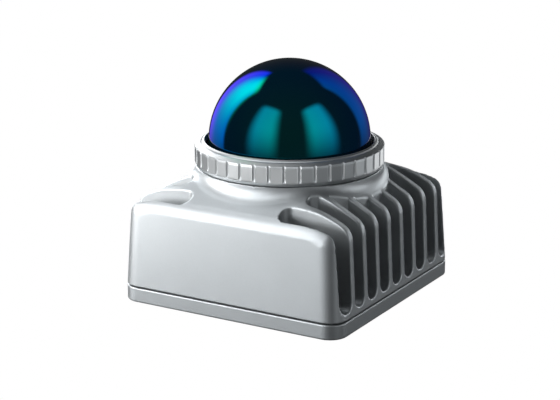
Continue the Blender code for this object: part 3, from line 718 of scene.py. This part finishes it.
def base_screws():
    """Socket-head screws with a rounded head, a coned hexagon socket and a knurled rim."""
    steps = 96
    angles = np.arange(steps) * math.tau / steps
    hexagon = 1.0 / np.cos((angles + math.pi / 6) % (math.pi / 3) - math.pi / 6)
    knurl = 0.05 * np.abs(np.sin(angles * 24))
    for number in range(1, 5):
        node = f"base_screw_{number}"
        low, high = corners(node)
        x, y = (low[0] + high[0]) / 2, (low[1] + high[1]) / 2
        rings = []
        for angle, six, grip in zip(angles, hexagon, knurl):
            row = [(0.0, 5.1), (0.95, 5.1), (1.2, 4.8), (1.2, 1.6), (2.05, 1.6), (2.12 - grip, 1.5),
                   (2.12 - grip, 0.7), (2.1, 0.5), (1.98, 0.36), (1.8, 0.3), (1.2, 0.3), (0.94 * six, 0.42),
                   (0.9 * six, 0.5), (0.9 * six, 1.2), (0.0, 1.35)]
            rings.append([(x + r * math.cos(angle), y + r * math.sin(angle), z) for r, z in row])
        stand_in(grid_solid(f"base_socket_screw_{number}", np.array(rings), closed=False), node)


# Studio: the sizes and tints of its lights, then the camera, the lights and the ground

WIDE = (0.8, 0.8)
BROAD = (0.4, 0.4)
MEDIUM = (0.3, 0.3)
SMALL = (0.1, 0.1)
WHITE = (1.0, 1.0, 1.0)
COOL = (0.93, 0.97, 1.0)


def camera():
    """The main viewpoint: turned to +X and a little above the horizon."""
    target = Vector((0.0, 0.0, CAMERA_TARGET_Z)) * MM
    azimuth, elevation = math.radians(CAMERA_AZIMUTH), math.radians(CAMERA_ELEVATION)
    data = bpy.data.cameras.new("camera")
    data.lens = 113.34
    data.sensor_width = 36.0
    data.shift_x = -0.01728
    data.clip_start = 0.01
    obj = bpy.data.objects.new("camera", data)
    bpy.context.scene.collection.objects.link(obj)
    away = Vector((math.sin(azimuth) * math.cos(elevation), -math.cos(azimuth) * math.cos(elevation),
                   math.sin(elevation)))
    obj.location = target + away * (CAMERA_DISTANCE * MM)
    obj.rotation_euler = (target - obj.location).to_track_quat("-Z", "Y").to_euler()
    bpy.context.scene.camera = obj


def aim_light(obj, target, azimuth, elevation, distance):
    """Stand a light at an azimuth counted from the camera's, and turn it to the target."""
    az, el = math.radians(azimuth + CAMERA_AZIMUTH), math.radians(elevation)
    away = Vector((math.sin(az) * math.cos(el), -math.cos(az) * math.cos(el), math.sin(el)))
    obj.location = target + away * distance
    obj.rotation_euler = (-away).to_track_quat("-Z", "Y").to_euler()


def area_light(name, size, power, only=None, skip=None, tint=WHITE):
    """A light for all pieces, or only for some, or for all but some."""
    data = bpy.data.lights.new(name, "AREA")
    data.shape = "RECTANGLE"
    data.size, data.size_y = size
    data.energy = power
    data.color = tint
    obj = bpy.data.objects.new(name, data)
    bpy.context.scene.collection.objects.link(obj)
    if only or skip:
        obj.light_linking.receiver_collection = group(name + "_receivers", only or skip)
    if skip:
        for item in obj.light_linking.receiver_collection.collection_objects:
            item.light_linking.link_state = "EXCLUDE"
    return obj


def softbox(name, azimuth, elevation, distance, size, power, **options):
    """A plain light that looks at the middle of the part."""
    obj = area_light(name, size, power, **options)
    aim_light(obj, Vector((0.0, 0.0, 0.025)), azimuth, elevation, distance)
    return obj


def window_panel(name, left, right, level, fade=0.35, tints=((0.0, WHITE), (1.0, WHITE)), bottom=-25, top=57,
                 foot=0.5, head=0.8):
    """An upright soft panel that only the window reflects, between two azimuths; level is its brightness.

    The tints go from its left edge to its right one.
    """
    away = 0.5
    low, high = away * math.tan(math.radians(bottom)), away * math.tan(math.radians(top))
    width = 2 * away * math.tan(math.radians(right - left) / 2)
    obj = area_light(name, (width, high - low), math.pi * width * (high - low) * level, only=["dome_shell"])
    aim_light(obj, Vector((0.0, 0.0, DOME_CENTRE * MM + (low + high) / 2)), (left + right) / 2, 0, away)
    soften(obj.data, fade, foot, head, tints)


def soften(data, fade, foot, head, tints):
    """Let a light fade towards its edges and change its tint across its width."""
    data.use_nodes = True
    tree = data.node_tree
    place = add(tree, "SeparateXYZ", Vector=add(tree, "TexCoord").outputs["UV"])
    strength = None
    for axis, start, end in (("X", 0.0, fade), ("X", 1.0, 1 - fade), ("Y", 0.0, foot), ("Y", 1.0, head)):
        share = add(tree, "MapRange", {"interpolation_type": "SMOOTHSTEP"}, Value=place.outputs[axis],
                    From_Min=start, From_Max=end).outputs["Result"]
        if strength:
            product = add(tree, "Math", {"operation": "MULTIPLY"})
            tree.links.new(share, product.inputs[0])
            tree.links.new(strength, product.inputs[1])
            share = product.outputs[0]
        strength = share
    ramp = add(tree, "ValToRGB", Fac=place.outputs["X"])
    while len(ramp.color_ramp.elements) < len(tints):
        ramp.color_ramp.elements.new(0.5)
    for element, (position, tint) in zip(ramp.color_ramp.elements, tints):
        element.position = position
        element.color = (*tint, 1.0)
    emission = tree.nodes["Emission"]
    tree.links.new(strength, emission.inputs["Strength"])
    tree.links.new(ramp.outputs["Color"], emission.inputs["Color"])


def group(name, names):
    """A collection of the named pieces."""
    collection = bpy.data.collections.new(name)
    for piece in names:
        collection.objects.link(bpy.data.objects[piece])
    return collection


def studio():
    """A white backdrop for the camera over dim light for everything else."""
    bpy.context.scene.view_settings.view_transform = "Standard"
    world = bpy.data.worlds.new("studio")
    world.use_nodes = True
    tree = world.node_tree
    seen = add(tree, "LightPath").outputs["Is Camera Ray"]
    dark = tree.nodes["Background"]
    dark.inputs["Color"].default_value = (0.8, 0.85, 0.9, 1)
    dark.inputs["Strength"].default_value = 0.045
    white = add(tree, "Background", Color=(1, 1, 1, 1), Strength=1.0)
    mix = add(tree, "MixShader", Fac=seen)
    tree.links.new(dark.outputs[0], mix.inputs[1])
    tree.links.new(white.outputs[0], mix.inputs[2])
    tree.links.new(mix.outputs[0], tree.nodes["World Output"].inputs["Surface"])
    bpy.context.scene.world = world


def floor():
    """A white ground that the pieces neither reflect nor get light from."""
    mesh = bpy.data.meshes.new("floor")
    mesh.from_pydata([(-3, -3, 0), (3, -3, 0), (3, 3, 0), (-3, 3, 0)], [], [(0, 1, 2, 3)])
    obj = bpy.data.objects.new("floor", mesh)
    bpy.context.scene.collection.objects.link(obj)
    obj.location.z = -0.0001
    material, _, shader, _ = new_material("pale_floor")
    shader.inputs["Base Color"].default_value = (0.0, 0.0, 0.0, 1)
    shader.inputs["Specular IOR Level"].default_value = 0.0
    shader.inputs["Emission Color"].default_value = (1, 1, 1, 1)
    shader.inputs["Emission Strength"].default_value = 1.0
    mesh.materials.append(material)
    obj.visible_glossy = False
    obj.visible_diffuse = False
    obj.visible_shadow = False


def lights():
    """Soft boxes for the cast parts, others for the turned ring, and upright panels for the window."""
    cast = {"skip": ["dome_shell", "grip_ring"]}
    softbox("cast_back_left", -145, 20, 1.0, BROAD, 6.0, tint=COOL, **cast)
    softbox("cast_top", -120, 62, 1.0, BROAD, 1.8, tint=COOL, **cast)
    softbox("cast_left_low", -90, -25, 1.0, BROAD, 1.0, tint=COOL, **cast)
    softbox("cast_left", -50, 5, 1.0, MEDIUM, 3.0, tint=COOL, **cast)
    softbox("cast_left_near", -80, 10, 0.2, SMALL, 0.30, **cast)
    softbox("cast_front_near", -50, 38, 0.2, SMALL, 0.13, tint=COOL, **cast)
    softbox("cast_front", 40, 5, 1.0, MEDIUM, 0.8, tint=COOL, **cast)
    softbox("cast_right", 90, 5, 1.0, MEDIUM, 1.4, tint=COOL, **cast)
    softbox("cast_back_right", 135, 8, 1.0, MEDIUM, 1.4, tint=COOL, **cast)
    softbox("cast_right_high", 140, 45, 1.0, BROAD, 0.7, tint=COOL, **cast)
    turned = {"only": ["grip_ring"]}
    softbox("ring_back_left", -155, 20, 1.0, WIDE, 5.0, **turned)
    softbox("ring_top", -120, 62, 1.0, WIDE, 1.5, **turned)
    softbox("ring_left", -100, 0, 1.0, WIDE, 1.5, **turned)
    softbox("ring_left_high", -60, 35, 1.0, WIDE, 3.0, tint=COOL, **turned)
    softbox("ring_left_near", -60, 8, 0.2, SMALL, 0.12, **turned)
    softbox("ring_front_high", 0, 35, 1.0, WIDE, 2.2, tint=COOL, **turned)
    softbox("ring_front_low", -20, -25, 1.0, WIDE, 1.4, **turned)
    softbox("ring_front", 30, 5, 1.0, WIDE, 0.6, tint=COOL, **turned)
    softbox("ring_right", 95, 5, 1.0, WIDE, 1.4, tint=COOL, **turned)
    softbox("ring_back_right", 140, -10, 1.0, WIDE, 2.6, **turned)
    window_panel("window_left", -67, -12, 1.12)
    window_panel("window_right", 19, 78, 1.12)
    window_panel("window_left_back", -160, -101, 2.0, 0.14,
                 ((0.0, (0.20, 0.10, 1.6)), (0.25, (0.18, 0.16, 1.2)), (0.5, (0.03, 0.36, 0.7)),
                  (0.75, (0.0, 0.5, 0.66)), (1.0, (0.0, 0.4, 0.7))), foot=0.25)
    window_panel("window_left_cyan", -150, -97, 6.2, 0.45, ((0.0, (0.0, 0.88, 0.2)), (1.0, (0.0, 0.92, 0.2))),
                 bottom=-5, top=60)
    window_panel("window_right_back", 113, 168, 0.95, 0.2,
                 ((0.0, (0.0, 0.5, 0.66)), (0.4, (0.0, 0.32, 0.8)), (0.75, (0.03, 0.02, 0.5)),
                  (1.0, (0.02, 0.01, 0.42))), foot=0.3)


finish_nodes()
housing_shell()
base_tray()
clamp_ring()
window()
soft_rings()
inlet_shell()
inlet_inside()
base_screws()
camera()
studio()
floor()
lights()
